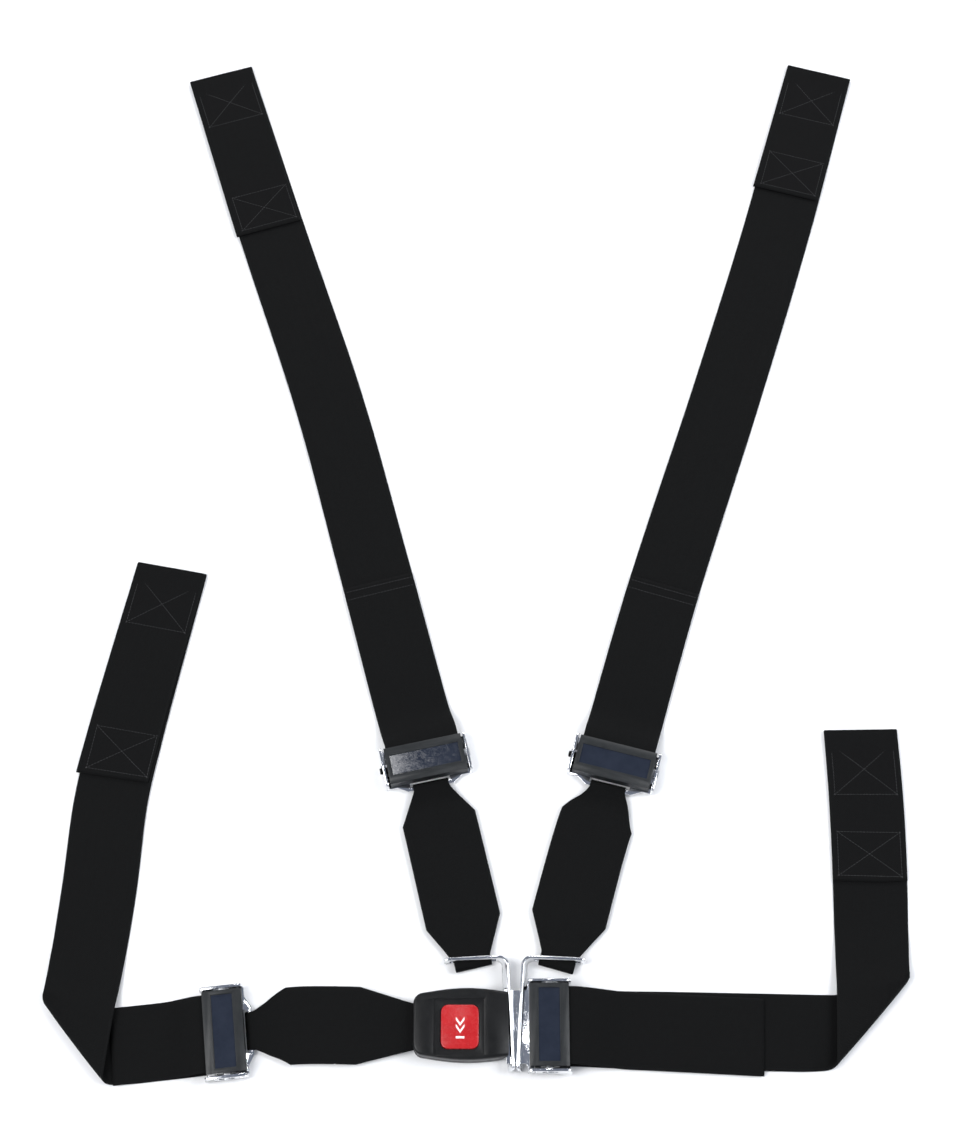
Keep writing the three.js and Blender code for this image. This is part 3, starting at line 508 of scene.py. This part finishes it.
def shoulder_strap(side, place, route, tail_length, fold, drift):
    """A shoulder strap, its tail and their stitching. fold is the length that is turned back and sewn."""
    body = f"{side}_shoulder"
    plan = route_from(place, route)
    profile = [*wrap(place[3]), *run(46, plan.length - 12, LOW), *sewn_end(plan.length, fold)]
    stations = along(plan, profile, drift=drift, fold=fold)
    soft_strap(f"{body}_webbing", stations, f"{body}_strap")
    tail = along(plan, tail_profile(place[3], tail_length))
    soft_strap(f"{body}_webbing_tail", tail, f"{body}_strap_tail")
    sew_end(body, plan, fold)
    sew_hem(body, plan, tail_length)


FOLD_RADIUS, FOLD_STEPS = 5.0, 14  # the roll where a lap strap turns its corner


def lap_strap(side, place, corner, route, tail_length, fold, drift=0.0, tail_towards=None):
    """A lap strap runs from its adjuster to a corner, is folded over there, and then follows route."""
    body = f"{side}_lap"
    before, after = route_from(place, [corner]), Plan([corner, *route])
    turn, d1 = before.at(before.length)
    d1, d2 = Vector((*d1, 0)), Vector((*after.at(0)[1], 0))
    turn = Vector((*turn, 0))
    up = Vector((0, 0, 1))
    axle, out = (d1 + d2).normalized(), (d1 - d2).normalized()
    radius = FOLD_RADIUS
    inset = math.pi / 2 * radius

    def begin(offset):
        start = turn + up.cross(d1) * offset
        return start - d1 * (((start - turn).dot(out) + inset) / d1.dot(out))

    begins = begin(WIDTH / 2), begin(-WIDTH / 2)
    advance = axle * (math.pi * radius * d1.dot(axle) / d1.dot(out))
    roll = []
    for i in range(FOLD_STEPS + 1):
        a = math.pi * i / FOLD_STEPS
        shift = (out * (radius * math.sin(a)) + advance * (i / FOLD_STEPS)
                 + up * (LOW + radius * (1 - math.cos(a))))
        roll.append((begins[0] + shift, begins[1] + shift, up * math.cos(a) - out * math.sin(a)))
    rise = LOW + 2 * radius
    first = along(before, [*wrap(place[3]), *run(46 + 4 * (place[3] - FRAME_Z), before.length - 62, LOW)])
    second = along(after, [(44, rise - 1), (64, SECOND + 2.5), (84, SECOND + 0.4), (104, LOW),
                           *run(130, after.length - 12, LOW), *sewn_end(after.length, fold)],
                   drift=drift, fold=fold)
    bridge_in = blend_rows(first[-1], roll[0], 8)
    turned = [(b, a, -n) for a, b, n in second]
    bridge_out = blend_rows(roll[-1], turned[0], 8)
    stations = [*first, *bridge_in, *roll, *bridge_out, *turned]
    tip, other = sorted(roll[FOLD_STEPS // 2][:2], key=lambda p: -p.dot(d1))
    inwards = ((other - tip).normalized() + d2).normalized()

    def settle(p):
        """The fold's outer corner is drawn in, because the webbing curls there."""
        into = max(0.0, (p - tip).dot(inwards))
        return unevenness(p) + (inwards * 4 + d2 * 10) * max(0.0, 1 - into / 75) ** 2

    soft_strap(f"{body}_webbing", stations, f"{body}_strap",
               settle)
    tail = along(route_from(place, [tail_towards or corner]), tail_profile(place[3], tail_length))
    soft_strap(f"{body}_webbing_tail", tail, f"{body}_strap_tail")
    sew_end(body, after, fold)


def blend_rows(a, b, steps):
    """The stations between two others."""
    out = []
    for i in range(1, steps):
        t = i / steps
        out.append((a[0].lerp(b[0], t), a[1].lerp(b[1], t), a[2].lerp(b[2], t).normalized()))
    return out


def link(name, start, place, width, flare, loop=0.0, sway=0.0):
    """A loop of webbing round two bars. It is narrow round them: width at the first, which it
    leaves to reach full width over flare (where that begins, how long it takes)."""
    end = (*on_axis(place, -25), place[3])
    sways = (-72, 1), (-42, 0.2), (-25, 0.2)  # distance on the adjuster's line, share of the sway there
    plan = Plan([start[:2], *[on_axis(place, distance, share * sway) for distance, share in sways]])
    total, middle = plan.length, plan.length / 2
    end_width, end_flare = 37, (4, 33)

    def widening(narrow, where, distance):
        t = min(max((distance - where[0]) / where[1], 0), 1)
        return narrow + (WIDTH - narrow) * t

    def half(s):
        return min(widening(width, flare, s), widening(end_width, end_flare, total - s)) / 2

    def height(s):
        t = min(max(s / total, 0), 1)
        return start[2] + (end[2] - start[2]) * t

    def layer(offset, low, high):
        stops = [18, 30, flare[0] + flare[1], 70, middle, total - 70, total - sum(end_flare), total - 14]
        return [(s, height(s) + offset) for s in stops if low < s < high]

    gap, radius = 0.95, 3.75
    profile = [(middle - 1, height(middle) - gap), *reversed(layer(-gap, 0, middle - 1)),
               *arc(loop, start[2], radius, 290, 270, 2), *arc(-loop, start[2], radius, 270, 90, 8),
               *arc(loop, start[2], radius, 90, 70, 2), *layer(gap, 0, total),
               *arc(total, end[2], radius, 110, -110, 10), *reversed(layer(-gap, middle + 1, total)),
               (middle + 1, height(middle) - gap)]
    stations = along(plan, profile, half, 3.0)
    piece, length = strip(name + "_webbing", stations)
    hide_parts(name)
    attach(piece, name)


shoulder_strap("left", LEFT_SHOULDER, [(-49.5, 318), (-99, 504), (-149.5, 690), (-219, 904), (-293, 1136)],
               212, 225, 2.6)
shoulder_strap("right", RIGHT_SHOULDER, [(167.8, 312), (213, 466), (290.5, 701), (358, 915), (421.5, 1139)],
               212, 178, 2.0)
lap_strap("left", LEFT_LAP, (-385, -22.8), [(-368, 135), (-362, 234), (-351.5, 300), (-313.7, 493.6)],
          112, 240, 3.5)
lap_strap("right", RIGHT_LAP, (407, -5.5), [(411, 78), (414.5, 188), (415, 252), (414, 310)],
          212, 162, tail_towards=(300, -9))


def rail(x, yaw, distance):
    a = math.radians(yaw)
    return (x + distance * math.cos(a) - 68.5 * math.sin(a), 68.5 * math.cos(a) + distance * math.sin(a), 4.5)


link("left_shoulder_link", rail(46.6, 3, -32.5), LEFT_SHOULDER, 37, (3, 38), 3.4, -1)
link("right_shoulder_link", rail(58.9, -3, 33), RIGHT_SHOULDER, 36, (6, 38), 4.5, 4.5)
link("left_lap_link", WEBBING_PIN, LEFT_LAP, 44.4, (8, 56))


# ------------------------------------------------------------------ hardware
BODIES = frame["record"]["behaviour"]["bodies"]
BODY_OF = {node: body for body, nodes in BODIES.items() for node in nodes}
WEBBING_NODES = ("strap", "tail", "link")  # how the names of the webbing's CAD solids end


def softened(node, material, width, segments=2, angle=30):
    """The CAD piece with its edges rounded."""
    source = frame["nodes"][node]
    mesh = bmesh.new()
    mesh.from_mesh(source.data)
    bmesh.ops.transform(mesh, matrix=source.matrix_world, verts=mesh.verts)
    bmesh.ops.remove_doubles(mesh, verts=mesh.verts, dist=1e-6)
    bmesh.ops.dissolve_limit(mesh, angle_limit=math.radians(1), verts=mesh.verts, edges=mesh.edges)
    piece = finish(node + "_finished", mesh, material)
    bevel = piece.modifiers.new("bevel", "BEVEL")
    bevel.width, bevel.segments, bevel.limit_method = width, segments, "ANGLE"
    bevel.angle_limit = math.radians(angle)
    bevel.harden_normals = True
    piece.data.shade_smooth()
    depsgraph = bpy.context.evaluated_depsgraph_get()
    final = bpy.data.meshes.new_from_object(piece.evaluated_get(depsgraph))
    piece.modifiers.clear()
    piece.data = final
    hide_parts(node)
    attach(piece, BODY_OF[node])
    return piece


WINDOW_DEPTH = 0.0016  # metres from a cover's top to the floor of its recess
WINDOW_AREA = 4e-4  # square metres; smaller level faces keep the cover's grain


def glossy_window(piece):
    """The floor of the recess in a cover is polished, and its blue-grey tint is a painted reflection."""
    piece.data.materials.append(MATERIALS["window"])
    floor_z = max(v.co.z for v in piece.data.vertices) - WINDOW_DEPTH
    for face in piece.data.polygons:
        level = face.normal.z > 0.97 and abs(face.center.z - floor_z) < 0.0006
        if level and face.area > WINDOW_AREA:
            face.material_index = 1
            face.use_smooth = False


for node in frame["nodes"]:
    if node.endswith(("adjuster_frame", "bracket")) or node == "tongue_frame":
        softened(node, "chrome", 0.0006)
    elif node.endswith("_cover") and node != "buckle_cover":
        glossy_window(softened(node, "cover", 0.0005))
    elif node in ("buckle_cover", "buckle_base"):
        softened(node, "case", 0.0004)
    elif node == "push_button":
        softened(node, "button", 0.0005)
    elif node == "ejector":
        softened(node, "acetal", 0.0004)
    elif BODY_OF[node] and not node.endswith(WEBBING_NODES):
        frame["nodes"][node].data.materials.clear()
        frame["nodes"][node].data.materials.append(MATERIALS["steel"])


def pictogram(z):
    """Two chevrons and a bar, printed on the button: push towards the lap."""
    mesh = bmesh.new()

    def plate(points):
        low = [mesh.verts.new(metres((x, y, z - 0.1))) for x, y in points]
        high = [mesh.verts.new(metres((x, y, z + 0.06))) for x, y in points]
        mesh.faces.new(list(reversed(low)))
        mesh.faces.new(high)
        for i in range(len(points)):
            k = (i + 1) % len(points)
            mesh.faces.new((low[i], low[k], high[k], high[i]))

    for y in (4.5, -2.5):
        plate([(-5.4, y), (-1.2, y - 6), (3.0, y), (3.0, y + 3), (-1.2, y - 3), (-5.4, y + 3)])
    plate([(-5.4, -13.6), (3.0, -13.6), (3.0, -11.4), (-5.4, -11.4)])
    bmesh.ops.recalc_face_normals(mesh, faces=mesh.faces)
    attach(finish("button_pictogram", mesh, "white"), "button")


pictogram(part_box("push_button")[1][2] * 1000)


# ------------------------------------------------------------------ floor
def floor_material():
    m = Nodes("floor")
    m.set(Base_Color=m.ramp(m.noise(3.0, 4.0), (0.3, 0.86), (0.7, 0.9)), Roughness=0.7,
          Normal=m.bump(m.noise(400.0), 0.05, 0.0003))
    return m.material


mesh = bmesh.new()
bmesh.ops.create_grid(mesh, x_segments=4, y_segments=4, size=6)
bmesh.ops.translate(mesh, verts=mesh.verts, vec=(0, 0, -0.0002))
data = bpy.data.meshes.new("floor")
mesh.to_mesh(data)
mesh.free()
floor = bpy.data.objects.new("floor", data)
bpy.context.collection.objects.link(floor)
data.materials.append(floor_material())
